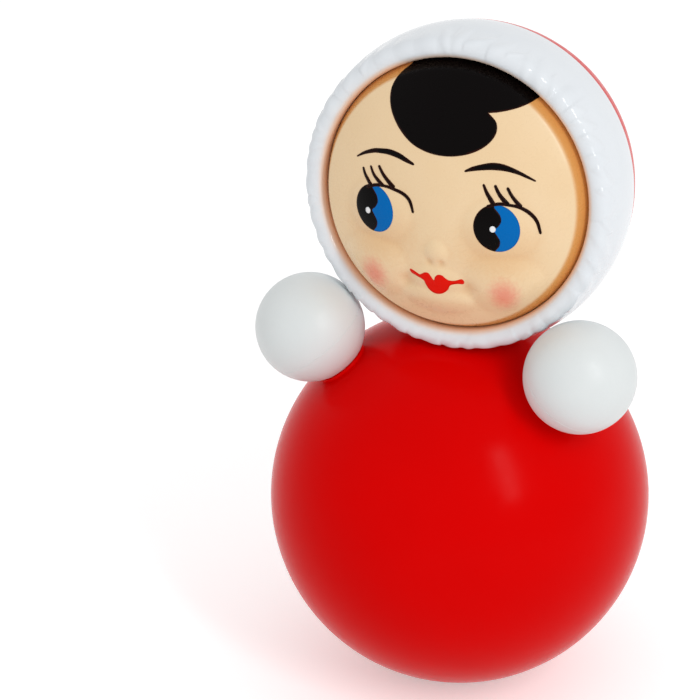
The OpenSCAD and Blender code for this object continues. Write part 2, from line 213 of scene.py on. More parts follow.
# %% Node helpers
def feed(tree, socket, value):
    """Links a socket to another one, or sets its value."""
    if isinstance(value, bpy.types.NodeSocket):
        tree.links.new(value, socket)
    else:
        socket.default_value = value


def put(tree, kind, inputs=None, **properties):
    """Adds a shader node with its properties and inputs."""
    node = tree.nodes.new("ShaderNode" + kind)
    for name, value in properties.items():
        setattr(node, name, value)
    for name, value in (inputs or {}).items():
        feed(tree, node.inputs[name], value)
    return node


def blend_colours(tree, mask, first, second):
    """The first colour where the mask is 0, the second where it is 1."""
    node = put(tree, "Mix", data_type="RGBA")
    # Mix has sockets of the same name for every kind of data, so those for colours go by number
    for number, value in ((0, mask), (6, first), (7, second)):
        feed(tree, node.inputs[number], value)
    return node.outputs[2]


def remap(tree, value, low, high, start=0.0, end=1.0, smooth=False):
    """Stretches a value from low..high to start..end, clamped."""
    inputs = {"Value": value, "From Min": low, "From Max": high, "To Min": start, "To Max": end}
    style = "SMOOTHSTEP" if smooth else "LINEAR"
    return put(tree, "MapRange", inputs, interpolation_type=style).outputs[0]


def colour(red, green, blue):
    """A screen colour of 0 to 255 as the linear colour that a shader takes."""
    shares = [c / 255 for c in (red, green, blue)]
    return (*[c / 12.92 if c < 0.04045 else ((c + 0.055) / 1.055) ** 2.4 for c in shares], 1)


# %% [markdown]
# Small moulded toys are never one flat colour. The plastic is faintly clouded where it flowed into the
# mould, hands have rubbed the gloss unevenly, and the skin has a fine ripple that softens reflections.
# Several finishes share these marks, so they are one node group, and each material places it with its own
# sizes.

# %% Marks that the mould and hands leave
RUBS_PER_CLOUD = 6.0
RUB_LIMITS = (0.35, 0.7)


def new_group(name, inputs, outputs):
    """A node group with its inputs, numbers or vectors with their defaults, and its outputs, numbers."""
    tree = bpy.data.node_groups.new(name, "ShaderNodeTree")
    for label, default in inputs.items():
        kind = "NodeSocketVector" if isinstance(default, tuple) else "NodeSocketFloat"
        tree.interface.new_socket(label, in_out="INPUT", socket_type=kind).default_value = default
    for label in outputs:
        tree.interface.new_socket(label, in_out="OUTPUT", socket_type="NodeSocketFloat")
    return tree, tree.nodes.new("NodeGroupInput").outputs, tree.nodes.new("NodeGroupOutput").inputs


def moulding_marks():
    """Clouding for colours, rubbing for roughness and skin for bumps."""
    sizes = {"Clouds per metre": 40.0, "Ripples per metre": 700.0}
    tree, given, out = new_group("moulding marks", sizes, ("Clouding", "Rubbing", "Skin"))
    place = put(tree, "TexCoord").outputs["Object"]
    cloud = {"Vector": place, "Scale": given["Clouds per metre"], "Detail": 3.0}
    tree.links.new(put(tree, "TexNoise", cloud).outputs[0], out["Clouding"])
    finer = put(tree, "Math", {0: given["Clouds per metre"], 1: RUBS_PER_CLOUD}, operation="MULTIPLY")
    rub = {"Vector": place, "Scale": finer.outputs[0], "Detail": 5.0, "Distortion": 1.5}
    tree.links.new(remap(tree, put(tree, "TexNoise", rub).outputs[0], *RUB_LIMITS), out["Rubbing"])
    ripple = {"Vector": place, "Scale": given["Ripples per metre"], "Detail": 2.0}
    tree.links.new(put(tree, "TexNoise", ripple).outputs[0], out["Skin"])
    return tree


MARKS = moulding_marks()
print("node group:", MARKS.name)

# %% [markdown]
# The blush on the cheeks is sprayed on, and the painted shade under the eyes is laid on the same way. A spot
# is full in its middle, fades to nothing at its edge and is a little speckled there. An image could hold it,
# but a formula needs no unwrapping: the distance from the middle, measured in half sizes, is the fade. It is
# a group of its own, because the same spot is placed several times, each with its own middle and size.

# %% A soft spot for blush and painted shade
SPECKS_PER_METRE = 900.0
SPECKLE = 0.08
SPECK_LIMITS = (0.3, 0.7)
SPOT_CORE = 0.1
SPOT_COVER = 0.85


def blush_and_shade_spot_group():
    """A soft round spot, as an airbrush leaves it through a stencil, for a blush or for painted shade."""
    sizes = {"Middle": (0.0, 0.0, 0.0), "Half size": (0.004, 0.01, 0.006)}
    tree, given, out = new_group("blush and shade spot", sizes, ("Mask",))
    place = put(tree, "TexCoord").outputs["Object"]
    away = put(tree, "VectorMath", {0: place, 1: given["Middle"]}, operation="SUBTRACT").outputs[0]
    parts = put(tree, "VectorMath", {0: away, 1: given["Half size"]}, operation="DIVIDE").outputs[0]
    share = put(tree, "VectorMath", {0: parts}, operation="LENGTH").outputs["Value"]
    grain = put(tree, "TexNoise", {"Vector": place, "Scale": SPECKS_PER_METRE, "Detail": 2.0}).outputs[0]
    speckle = remap(tree, grain, *SPECK_LIMITS, -SPECKLE, SPECKLE)
    rough = put(tree, "Math", {0: share, 1: speckle}).outputs[0]
    tree.links.new(remap(tree, rough, SPOT_CORE, 1.0, SPOT_COVER, 0.0, smooth=True), out["Mask"])
    return tree


SPOT = blush_and_shade_spot_group()
print("node group:", SPOT.name)

# %% [markdown]
# The doll has four plastics: a hard red gloss on the ball and the hood, a white gloss on the bonnet, a satin
# white on the hands and a plain cream inside. One function makes them all from two near tones, a range of
# roughness and a bump, because they differ only in these. The red reflects little, as the photograph shows.

# %% Plastics
SKIN_DEPTH = 0.0004


def new_material(name):
    """A material's node tree and its Principled shader."""
    material = bpy.data.materials.new(name)
    material.use_nodes = True
    return material, material.node_tree, material.node_tree.nodes["Principled BSDF"].inputs


def place_marks(tree, clouds, ripples):
    """Places the shared marks in a material, with its own sizes."""
    node = tree.nodes.new("ShaderNodeGroup")
    node.node_tree = MARKS
    node.inputs["Clouds per metre"].default_value = clouds
    node.inputs["Ripples per metre"].default_value = ripples
    return node.outputs


def plastic(name, light, dark, gloss, specular, clouds=40.0, ripples=700.0, bump=0.04):
    """A moulded plastic: two near tones, a range of roughness and a rippled skin."""
    material, tree, shader = new_material(name)
    marks = place_marks(tree, clouds, ripples)
    feed(tree, shader["Base Color"], blend_colours(tree, marks["Clouding"], dark, light))
    feed(tree, shader["Roughness"], remap(tree, marks["Rubbing"], 0, 1, *gloss))
    skin = put(tree, "Bump", {"Strength": bump, "Distance": SKIN_DEPTH, "Height": marks["Skin"]})
    feed(tree, shader["Normal"], skin.outputs[0])
    shader["Specular IOR Level"].default_value = specular
    return material


RED = plastic(
    "red gloss", colour(224, 0, 0), colour(214, 0, 0),
    gloss=(0.18, 0.26), specular=0.03, clouds=25.0, bump=0.02)
WHITE = plastic(
    "bonnet white", colour(234, 238, 242), colour(226, 231, 236),
    gloss=(0.12, 0.2), specular=0.5, clouds=90.0)
SATIN = plastic(
    "hand white", colour(230, 234, 234), colour(221, 226, 226),
    gloss=(0.34, 0.46), specular=0.4, clouds=60.0, bump=0.1)
CREAM = plastic(
    "natural plastic", colour(236, 232, 218), colour(224, 218, 200),
    gloss=(0.4, 0.55), specular=0.4, bump=0.08)
print("plastics:", RED.name, WHITE.name, SATIN.name, CREAM.name)

# %% [markdown]
# Inside there are steel pins, rods and screws, a brass bob and an iron weight. A metal can be the plastic's
# node tree with Metallic at 1: it then takes its reflection's colour from the same two tones.

# %% Metals inside
MACHINED = {"specular": 0.5, "clouds": 150.0, "ripples": 2500.0, "bump": 0.1}
AS_CAST = {"specular": 0.5, "clouds": 120.0, "ripples": 900.0, "bump": 0.8}


def metal(name, light, dark, gloss, skin):
    """A metal, clouded where it has dulled and grained by its making."""
    material = plastic(name, light, dark, gloss, **skin)
    material.node_tree.nodes["Principled BSDF"].inputs["Metallic"].default_value = 1.0
    return material


STEEL = metal("drawn steel", colour(212, 213, 216), colour(186, 188, 192), (0.2, 0.38), MACHINED)
BRASS = metal("turned brass", colour(224, 190, 112), colour(204, 166, 86), (0.2, 0.36), MACHINED)
IRON = metal("cast iron", colour(96, 96, 98), colour(70, 70, 73), (0.5, 0.75), AS_CAST)
print("metals:", STEEL.name, BRASS.name, IRON.name)

# %% [markdown]
# ## The ball body
# The body is two half shells that lap at the equator, so cleanly closed that no seam shows. A sphere
# primitive would have poles and no wall. Spinning the section gives each half its wall, its lap, the
# small flat that the doll stands on and the flat under the neck.

# %% Body shells
SHELL_WALL = 2.2
LAP_H = 4.0
LAP_FIT = 0.03
BUSH_R = 9.03
NECK_PLATE = 2.5
BODY_STEPS = 192


def angle_at(height, radius):
    """The angle from the axis, in degrees, at which a ball reaches a height."""
    return math.degrees(math.acos(height / radius))


def body_sections():
    """Sections of the lower and the upper half, from the middle of the ball."""
    inner, lap = BODY_R - SHELL_WALL, BODY_R - SHELL_WALL / 2
    foot_h = BODY_MID.z / MM
    neck_h = (body_high.z - BODY_MID.z) / MM
    ceiling = neck_h - NECK_PLATE
    lower = arc((0, 0), BODY_R, 180 - angle_at(foot_h, BODY_R), 90, steps=60)
    lower += [(lap - LAP_FIT, 0), (lap - LAP_FIT, LAP_H), (inner, LAP_H)]
    lower += arc((0, 0), inner, 90, 180, steps=30)
    upper = [(lap, 0)] + arc((0, 0), BODY_R, 90, angle_at(neck_h, BODY_R), steps=60)
    upper += [(BUSH_R, neck_h), (BUSH_R, ceiling)]
    upper += arc((0, 0), inner, angle_at(ceiling, inner), angle_at(LAP_H, inner), steps=30)
    return [(0, -foot_h)] + lower, upper + [(lap, LAP_H)]


lower_section, upper_section = body_sections()
body_lower = add_object(lathe(lower_section, BODY_STEPS, closed=False), "body_lower", BODY)
body_upper = add_object(lathe(upper_section, BODY_STEPS), "body_upper", BODY)
add_piece(body_lower, RED, "body", ["body_lower_shell"])
add_piece(body_upper, RED, "body", ["body_upper_shell"])

# %% [markdown]
# ## The hood
# Behind its white bonnet the head is closed by a red hood, which also carries the stem on which the head
# turns. The hood is spun about the face axis and cut flat where the head sits on the body. The stem stands
# upright, so it is spun about the vertical and joined on.

# %% Hood and stem
HEAD_WALL = 2.4
HEAD_STEPS = 208
STEM_STEPS = 64
STEM_R = 7.0
STEM_LEN = 10.2
BOSS_R = 9.2
BOSS_H = 5.0
SEAT = Matrix.Translation((0, 0, SEAT_Z)) @ Matrix.Scale(MM, 4)


def cut_flat(bm):
    """Cuts a head shell, still in its own axes, flat at the height where the head sits."""
    seat = HEAD.inverted() @ Vector((0, 0, SEAT_Z))
    down = HEAD_TURN.to_3x3().inverted() @ -UP
    everything = bm.verts[:] + bm.edges[:] + bm.faces[:]
    cut = bmesh.ops.bisect_plane(bm, geom=everything, plane_co=seat, plane_no=down, clear_outer=True)
    rim = [e for e in cut["geom_cut"] if isinstance(e, bmesh.types.BMEdge)]
    bmesh.ops.holes_fill(bm, edges=rim)
    bmesh.ops.recalc_face_normals(bm, faces=bm.faces)


HEAD_IN = HEAD_R - HEAD_WALL
hood_section = arc((0, 0), HEAD_R, angle_at(SEAM_D, HEAD_R), 180, steps=60)
hood_section += arc((0, 0), HEAD_IN, 180, angle_at(SEAM_D, HEAD_IN), steps=24)
hood_mesh = lathe(hood_section, HEAD_STEPS)
cut_flat(hood_mesh)
hood = add_object(hood_mesh, "hood", HEAD)
stem_section = [(0, -STEM_LEN), (STEM_R, -STEM_LEN), (STEM_R, 0), (BOSS_R, 0), (BOSS_R, BOSS_H), (0, BOSS_H)]
stem = add_object(lathe(stem_section, STEM_STEPS, closed=False), "stem", SEAT)
carve(hood, stem, "UNION")
add_piece(hood, RED, "head", ["hood_shell"])

# %% [markdown]
# ## The bonnet and its pleats
# The bonnet is a white ring of the same ball, rolled at the front into a soft rim that looks like gathered
# cloth. The rim could be a torus set on the ring, but then a crease would show between them, so it is part
# of one spun section: the ball swells a little up to the crest, and a roll leads from there to a ledge.

# %% Section of the bonnet
RIM_R = 3.2
RIM_PROUD = 0.35
ROLL_END = -90
SWELL_ANGLE = 8
SWELL_STEPS = 12
RIM_D = RIM_FRONT - RIM_R
RIM_C = math.sqrt((HEAD_R + RIM_PROUD - RIM_R) ** 2 - RIM_D**2)
CREST = math.degrees(math.atan2(RIM_C, RIM_D))
OPENING_R = RIM_C - RIM_R
LEDGE_D = RIM_D - RIM_R


def smooth_share(value, low, high):
    """0 below low, 1 above high, and a smooth rise between them."""
    t = min(1.0, max(0.0, (value - low) / (high - low)))
    return t * t * (3 - 2 * t)


def bonnet_section():
    """The bonnet's section: the ball, its swelling up to the crest, the roll, the ledge and the inside."""
    shoulder = CREST + SWELL_ANGLE
    section = arc((0, 0), HEAD_R, angle_at(SEAM_D, HEAD_R), shoulder, steps=18)
    for i in range(1, SWELL_STEPS):
        angle = shoulder + (CREST - shoulder) * i / SWELL_STEPS
        radius = HEAD_R + RIM_PROUD * smooth_share(i / SWELL_STEPS, 0, 1)
        section += arc((0, 0), radius, angle, angle, steps=1)[:1]
    section += arc((RIM_C, RIM_D), RIM_R, CREST, ROLL_END, steps=30)
    section += [(OPENING_R, LEDGE_D)]
    return section + arc((0, 0), HEAD_IN, angle_at(LEDGE_D, HEAD_IN), angle_at(SEAM_D, HEAD_IN), steps=12)


print(f"rim crest {CREST:.1f} degrees from the face axis, face opening {OPENING_R:.2f} mm in radius")

# %% [markdown]
# The gathers are too uneven for a repeated shape or a wave texture. They are made the way a modeller would:
# the spun mesh is fine enough to push each point in by the depth of its gather. Each gather has its own
# width, depth, length and slant, drawn from one seeded stream, so that every run gives the same bonnet.

# %% Pleats
PLEATS = 52
PLEAT_DEPTH = 0.36
PLEAT_NARROW = 1.2
PLEAT_WIDTHS = (0.65, 1.45)
PLEAT_DEPTHS = (0.6, 1.25)
PLEAT_LENGTHS = (6.0, 10.5)
PLEAT_SLANTS = (-0.002, 0.005)
PLEAT_FOOT = (-8.2, -3.0)
PLEAT_FULL = 0.2
ON_ROLL = 0.01
ON_BALL = 0.1
ROLL_SPARE = 1


def draw_pleats(seed):
    """For each pleat: where it ends round the rim, its depth, its length and its slant."""
    chance = random.Random(seed)
    widths = [chance.uniform(*PLEAT_WIDTHS) for _ in range(PLEATS)]
    turn, total, pleats = 0.0, sum(widths), []
    for width in widths:
        turn += width / total
        traits = [chance.uniform(*limits) for limits in (PLEAT_DEPTHS, PLEAT_LENGTHS, PLEAT_SLANTS)]
        pleats.append((turn, *traits))
    return pleats


def pleat_push(turn, along, pleats):
    """How far a gather pushes a point in: its turn round the rim is 0 to 1, along is from the crest."""
    i = bisect_right(pleats, (turn,))
    start = pleats[i - 1][0] if i else 0.0
    end, depth, length, slant = pleats[min(i, PLEATS - 1)]
    share = min(1.0, max(0.0, (turn + slant * along - start) / (end - start)))
    valley = ((1 + math.cos(math.tau * share)) / 2) ** PLEAT_NARROW
    fade = smooth_share(along, *PLEAT_FOOT) * (1 - smooth_share(along, PLEAT_FULL * length, length))
    return PLEAT_DEPTH * depth * valley * fade


def gather(bm):
    """Pushes the points of the rim and the shoulder in by the depth of the gathers."""
    pleats = draw_pleats(seed=7)
    for v in bm.verts:
        radius = math.hypot(v.co.x, v.co.y)
        roll = math.degrees(math.atan2(radius - RIM_C, v.co.z - RIM_D))
        off_roll = abs(math.hypot(radius - RIM_C, v.co.z - RIM_D) - RIM_R)
        ball = math.degrees(math.atan2(radius, v.co.z))
        if off_roll < ON_ROLL and ROLL_END - ROLL_SPARE < roll < CREST + ROLL_SPARE:
            along, lean = math.radians(roll - CREST) * RIM_R, math.radians(roll)
        elif math.hypot(radius, v.co.z) > HEAD_R - ON_BALL:
            along, lean = math.radians(ball - CREST) * HEAD_R, math.radians(ball)
        else:
            continue
        push = pleat_push((math.atan2(v.co.y, v.co.x) / math.tau) % 1.0, along, pleats)
        out = Vector((v.co.x / radius * math.sin(lean), v.co.y / radius * math.sin(lean), math.cos(lean)))
        v.co -= out * push


print(f"{PLEATS} pleats, none deeper than {PLEAT_DEPTH * PLEAT_DEPTHS[1]:.2f} mm")

# %% [markdown]
# The inside of the rim is painted with a warm reflection of the face beside it. A second piece would be
# wrong for a tint, so the bonnet's material gets a mask: how far a point is from the face axis, worked out
# from Object coordinates that a Mapping node turns into the head's own axes.

# %% Bonnet
BONNET_STEPS = 624
# Width and tone of the painted reflection of the face inside the rim
RIM_REFLECTION_W = 2.0
RIM_REFLECTION_TONE = colour(250, 218, 192)
BOSS_GAP = 0.4
ROOM_SPARE = 1.0


def from_face_axis(tree):
    """How far a point is from the face axis, in metres."""
    place = put(tree, "TexCoord").outputs["Object"]
    turn = {"Vector": place, "Location": HEAD_MID, "Rotation": HEAD_TURN.to_euler()}
    local = put(tree, "Mapping", turn, vector_type="TEXTURE").outputs[0]
    across = put(tree, "VectorMath", {0: local, 1: (1, 1, 0)}, operation="MULTIPLY").outputs[0]
    return put(tree, "VectorMath", {0: across}, operation="LENGTH").outputs["Value"]


def paint_rim_reflection(material):
    """Paints the face's warm reflection on the inside of the rim."""
    tree = material.node_tree
    base = tree.nodes["Principled BSDF"].inputs["Base Color"]
    start, end = OPENING_R * MM, (OPENING_R + RIM_REFLECTION_W) * MM
    mask = remap(tree, from_face_axis(tree), start, end, 1.0, 0.0, smooth=True)
    feed(tree, base, blend_colours(tree, mask, base.links[0].from_socket, RIM_REFLECTION_TONE))


bonnet_mesh = lathe(bonnet_section(), BONNET_STEPS)
gather(bonnet_mesh)
cut_flat(bonnet_mesh)
bonnet = add_object(bonnet_mesh, "bonnet", HEAD)
cut_room(bonnet, BOSS_R + BOSS_GAP, -ROOM_SPARE, BOSS_H + BOSS_GAP, SEAT, STEM_STEPS)
paint_rim_reflection(WHITE)
add_piece(bonnet, WHITE, "head", ["bonnet_shell"], sharp=50)

# %% [markdown]
# ## The face plate
# The face is one moulding, sprayed flesh pink: a low crown with swellings for the eyes, nose, cheeks, mouth
# and chin, and a narrow shoulder that slopes down to the rim. It sits behind the rim on a flange, with a
# hairline gap all round. It could be sculpted by hand, but here its height is a formula, because the
# painted features have to lie on the same surface. A soft minimum joins the crown and the shoulder. Each
# swelling is a low cap, and a soft maximum joins them, which leaves the shallow creases that a mould has
# between its forms.

# %% The height of the face
GUTTER = 0.15
EDGE_H = 2.2
FACE_R = OPENING_R - GUTTER
FACE_EDGE = LEDGE_D + EDGE_H
SHOULDER_W = 2.2
SHOULDER_H = 5.4
CROWN_H = 10.9
CROWN_R = ((FACE_R - SHOULDER_W) ** 2 + CROWN_H**2) / (2 * CROWN_H)
SOFTNESS = 0.5
CREASE = 0.35
FEATURES_END = (34.0, 38.6)
SLOPE_STEP = 0.02

# Place across and up the face, half width, half height and rise of each swelling
SWELLINGS = [
    (0.3, -13.4, 3.6, 4.0, 1.0),
    (0, -22.6, 8.8, 5.4, 1.3),
    (0, -28.4, 11.0, 5.2, 1.6),
    *[(side * 18.2, -4.2, 10.6, 9.6, 1.9) for side in (-1, 1)],
    *[(side * 20.0, -21.5, 11.5, 10.5, 2.1) for side in (-1, 1)],
]
# Place across and up the face, radius and depth of each hollow
HOLLOWS = [(side * x, y, radius, depth) for side in (-1, 1) for x, y, radius, depth in [
    (18.0, -5.0, 11.5, 1.2), (9.4, -24.0, 2.6, 0.7), (1.7, -16.4, 1.1, 0.4)]]


def relief(x, y):
    """How far the features rise above the plain dome."""
    rise = 0.0
    for x0, y0, wide, high, top in SWELLINGS:
        cap = top * (1 - ((x - x0) / wide) ** 2 - ((y - y0) / high) ** 2)
        rise = (rise + cap + math.sqrt((rise - cap) ** 2 + CREASE**2)) / 2
    for x0, y0, radius, depth in HOLLOWS:
        rise -= depth * math.exp(-((x - x0) ** 2 + (y - y0) ** 2) / radius**2)
    return rise * (1 - smooth_share(math.hypot(x, y), *FEATURES_END))


def dome_height(x, y):
    """Height of the plain dome above the middle of the head, along the face axis."""
    away = math.hypot(x, y)
    crown = SHOULDER_H + CROWN_H - CROWN_R + math.sqrt(CROWN_R**2 - away**2)
    shoulder = SHOULDER_H * (FACE_R - away) / SHOULDER_W
    return FACE_EDGE + (crown + shoulder - math.sqrt((crown - shoulder) ** 2 + SOFTNESS**2)) / 2


def face_height(x, y):
    """Height of the dome with its features."""
    return dome_height(x, y) + relief(x, y)


@lru_cache(maxsize=None)
def on_face(x, y, lift=0.0):
    """A point on the face, or lifted straight off it."""
    d = SLOPE_STEP
    fall_x = face_height(x - d, y) - face_height(x + d, y)
    fall_y = face_height(x, y - d) - face_height(x, y + d)
    return Vector((x, y, face_height(x, y))) + Vector((fall_x, fall_y, 2 * d)).normalized() * lift


print("middle of the nose", [round(v, 2) for v in on_face(*SWELLINGS[0][:2])])

# %% [markdown]
# The flesh colour is sprayed, with a blush sprayed on each cheek. Painted shade is laid on it too: deeper on
# the shoulder, tan in the folds between the features, and a spot under each eye. The lid above covers the
# upper part of that spot, so a second spot of the plain flesh colour takes that part away again. The folds
# can't be found by a formula of place alone, so the mesh carries them as an attribute.

# %% Enamel of the face
LIGHT_FLESH, DEEP_FLESH = colour(245, 216, 175), colour(239, 206, 160)
# Tones of painted shade on the shoulder and under the eyes
SHOULDER_SHADE_TONE = colour(222, 158, 86)
PAINTED_SHADE_TONE = colour(224, 168, 106)
BLUSH_TONE = colour(238, 142, 116)
# Tone of the painted shade in the folds, and how far it covers
FOLD_SHADE_TONE = colour(206, 142, 78)
FOLD_SHADE_COVER = 0.5
BEND_FADE = (-0.6, 0.5)
BLUSH_X, BLUSH_Y = 19.9, -24.4
BLUSH_SIZE = (0.0062, 0.012, 0.0078)
EYE_X = 18.2
PAINTED_SHADE_Y, PAINTED_SHADE_SIZE = -10.0, (0.0165, 0.014, 0.0135)
LID_Y, LID_SIZE = -4.0, (0.0185, 0.016, 0.0155)
PAINTED_SHADE_SHARE = 0.7
FLESH_GLOSS = (0.24, 0.36)


def spot_of_blush_and_shade(tree, x, y, size):
    """Places a soft spot on the face, for a blush or for painted shade, and gives its mask."""
    spot = tree.nodes.new("ShaderNodeGroup")
    spot.node_tree = SPOT
    spot.inputs["Middle"].default_value = HEAD @ on_face(x, y)
    spot.inputs["Half size"].default_value = size
    return spot.outputs["Mask"]


def enamel():
    """Sprayed flesh colour and blushes, with painted shade on the shoulder, in folds and under the eyes."""
    material, tree, shader = new_material("face enamel")
    marks = place_marks(tree, clouds=60.0, ripples=900.0)
    flesh = blend_colours(tree, marks["Clouding"], DEEP_FLESH, LIGHT_FLESH)
    # Painted shade: the shoulder, which lies in the rim's shade, gets a deeper tone
    start, end = ((FACE_R - SHOULDER_W + fade) * MM for fade in BEND_FADE)
    edge = remap(tree, from_face_axis(tree), start, end, smooth=True)
    plain = flesh = blend_colours(tree, edge, flesh, SHOULDER_SHADE_TONE)
    # Painted shade under each eye, then plain flesh again over its upper part, where the lid is
    for side in (-1, 1):
        for y, size, tone in (PAINTED_SHADE_Y, PAINTED_SHADE_SIZE, PAINTED_SHADE_TONE), (LID_Y, LID_SIZE, plain):
            spot = spot_of_blush_and_shade(tree, side * EYE_X, y, size)
            share = put(tree, "Math", {0: spot, 1: PAINTED_SHADE_SHARE}, operation="MULTIPLY").outputs[0]
            flesh = blend_colours(tree, share, flesh, tone)
    for side in (-1, 1):
        flesh = blend_colours(tree, spot_of_blush_and_shade(tree, side * BLUSH_X, BLUSH_Y, BLUSH_SIZE), flesh, BLUSH_TONE)
    # Painted shade: the folds between the features get a tan tone
    fold = put(tree, "Attribute", attribute_name="fold").outputs["Fac"]
    flesh = blend_colours(tree, remap(tree, fold, 0, 1, 0.0, FOLD_SHADE_COVER), flesh, FOLD_SHADE_TONE)
    feed(tree, shader["Base Color"], flesh)
    feed(tree, shader["Roughness"], remap(tree, marks["Rubbing"], 0, 1, *FLESH_GLOSS))
    skin = put(tree, "Bump", {"Strength": 0.02, "Distance": SKIN_DEPTH, "Height": marks["Skin"]})
    feed(tree, shader["Normal"], skin.outputs[0])
    shader["Specular IOR Level"].default_value = 0.4
    return material


FLESH = enamel()
print("enamel:", len(FLESH.node_tree.nodes), "nodes")

# %% [markdown]
# The plate itself is a plain spun section with its flange and a skirt behind it. Its points lie closest
# together at the shoulder, which bends most. Then each point of the outside is raised by the features, and
# told how deep in a fold it lies: how much the ground a little way off stands above it. The enamel lays its
# painted shade in the folds by that depth.

# %% Face plate
FACE_WALL = 2.0
FLANGE_FIT = 0.15
FLANGE_R = math.sqrt(HEAD_IN**2 - LEDGE_D**2) - FLANGE_FIT
FLANGE_T = 2.5
SKIRT_T = 2.0
SKIRT_D = span("face_plate", FACE_AXIS, HEAD_MID)[0]
FACE_STEPS = 400
FOLD_REACH = 1.6
FOLD_DEPTH = 0.6
ON_DOME = 0.02


def dome(inset, steps):
    """The dome's outline from its top to its edge, with its points closest at the shoulder."""
    radii = [FACE_R * (1 - (1 - i / steps) ** 2) for i in range(steps + 1)]
    return [(r * (1 - inset / FACE_R), dome_height(r, 0) - inset) for r in radii]


def face_section():
    """Dome, edge, flange and skirt of the plain plate."""
    flange_low = LEDGE_D - FLANGE_T
    section = dome(0, steps=110)
    section += [(FACE_R, LEDGE_D), (FLANGE_R, LEDGE_D), (FLANGE_R, SKIRT_D), (FLANGE_R - SKIRT_T, SKIRT_D)]
    section += [(FLANGE_R - SKIRT_T, flange_low), (FACE_R - FACE_WALL, flange_low)]
    return section + dome(FACE_WALL, steps=24)[::-1]


def hollow_share(x, y):
    """How much the features around a point stand above it: 0 on open ground, 1 in a deep fold."""
    ring = [(x + FOLD_REACH * c, y + FOLD_REACH * s) for c, s in ((1, 0), (-1, 0), (0, 1), (0, -1))]
    rise = sum(relief(*p) for p in ring) / len(ring) - relief(x, y)
    return min(1.0, max(0.0, rise / FOLD_DEPTH))


face_mesh = lathe(face_section(), FACE_STEPS, closed=False)
# The fold attribute says where the enamel lays its painted shade
fold = face_mesh.verts.layers.float.new("fold")
for v in face_mesh.verts:
    if abs(v.co.z - dome_height(v.co.x, v.co.y)) < ON_DOME:
        v[fold] = hollow_share(v.co.x, v.co.y)
        v.co.z += relief(v.co.x, v.co.y)
face = add_object(face_mesh, "face", HEAD)
add_piece(face, FLESH, "head", ["face_plate"])

# %% [markdown]
# ## The painted features
# Hair, brows, lashes, eyes and lips are painted by hand over the face. Paint could be a pattern in the
# face's material, but a film of paint has an edge and its own gloss, and a mesh keeps its outline crisp
# at any distance. Each film starts as a flat outline. A painter's line flows, so `flowing` leads a smooth
# curve through a few points, and `stroke` turns a line that carries its own width into an outline.

# %% Lines of the brush
def flowing(points, closed=False, step=0.25, fewest=3):
    """A smooth line through a few points. Each point may carry a third number, such as a width."""
    spots = [Vector((*p, 0.0)[:3]) for p in points]
    last = len(spots) - 1
    line = []
    for i in range(len(spots) if closed else last):
        near = [k % len(spots) if closed else min(max(k, 0), last) for k in (i - 1, i, i + 1, i + 2)]
        before, here, after, beyond = (spots[k] for k in near)
        count = max(fewest, round((after - here).length / step) + 1)
        # A sixth of the step between a point's neighbours bends the curve smoothly through it
        bend_out, bend_in = here + (after - before) / 6, after - (beyond - here) / 6
        line += interpolate_bezier(here, bend_out, bend_in, after, count)[:-1]
    return line if closed else line + [spots[-1]]


def stroke(points, load=1.0):
    """The outline of a brush stroke through points of (x, y, width), with a fuller or a drier brush."""
    spine = flowing(points)
    left, right = [], []
    for i, spot in enumerate(spine):
        way = (spine[min(i + 1, len(spine) - 1)] - spine[max(i - 1, 0)]).to_2d().normalized()
        side = Vector((-way.y, way.x)) * spot.z * load / 2
        left.append(spot.to_2d() + side)
        right.append(spot.to_2d() - side)
    tip = spine[-1].to_2d() + (spine[-1] - spine[-2]).to_2d().normalized() * spine[-1].z / 2
    tail = spine[0].to_2d() + (spine[0] - spine[1]).to_2d().normalized() * spine[0].z / 2
    return [tail] + left + [tip] + right[::-1]


# %% [markdown]
# An outline is filled, divided until its edges are short, laid on the face's formula and given a thickness.
# A Shrinkwrap modifier could lay it on the mesh of the face, but the formula is exact between the points of
# that mesh too. An attribute marks the film's edge, where real paint is thin.

# %% Films of paint
FILM_EDGE = 0.7
FILM_PASSES = 7
FILM_SINK = 0.12
STROKE_LIFT = 0.01


def lifted_length(edge, lift):
    """The length that a flat edge will have on the face."""
    start, end = (on_face(v.co.x, v.co.y, lift) for v in edge.verts)
    return (end - start).length


def film_mesh(outline, lift):
    """Fills an outline, divides it finely and lays it on the face."""
    bm = bmesh.new()
    edge = bm.verts.layers.float.new("edge")
    ring = [bm.verts.new((p[0], p[1], 0)) for p in outline]
    rim = [bm.edges.new(pair) for pair in zip(ring, ring[1:] + ring[:1])]
    bmesh.ops.triangle_fill(bm, use_beauty=True, edges=rim, normal=UP)
    for _ in range(FILM_PASSES):
        inner = [e for e in bm.edges if not e.is_boundary]
        long = [e for e in inner if lifted_length(e, lift) > FILM_EDGE]
        bmesh.ops.subdivide_edges(bm, edges=long, cuts=1)
        bmesh.ops.triangulate(bm, faces=bm.faces)
        bmesh.ops.beautify_fill(bm, faces=bm.faces, edges=[e for e in bm.edges if not e.is_boundary])
    for v in bm.verts:
        v[edge] = float(v.is_boundary)
        v.co = on_face(v.co.x, v.co.y, lift)
    bm.normal_update()
    bmesh.ops.reverse_faces(bm, faces=[f for f in bm.faces if f.normal.z < 0])
    mesh = bpy.data.meshes.new("film")
    bm.to_mesh(mesh)
    bm.free()
    return mesh


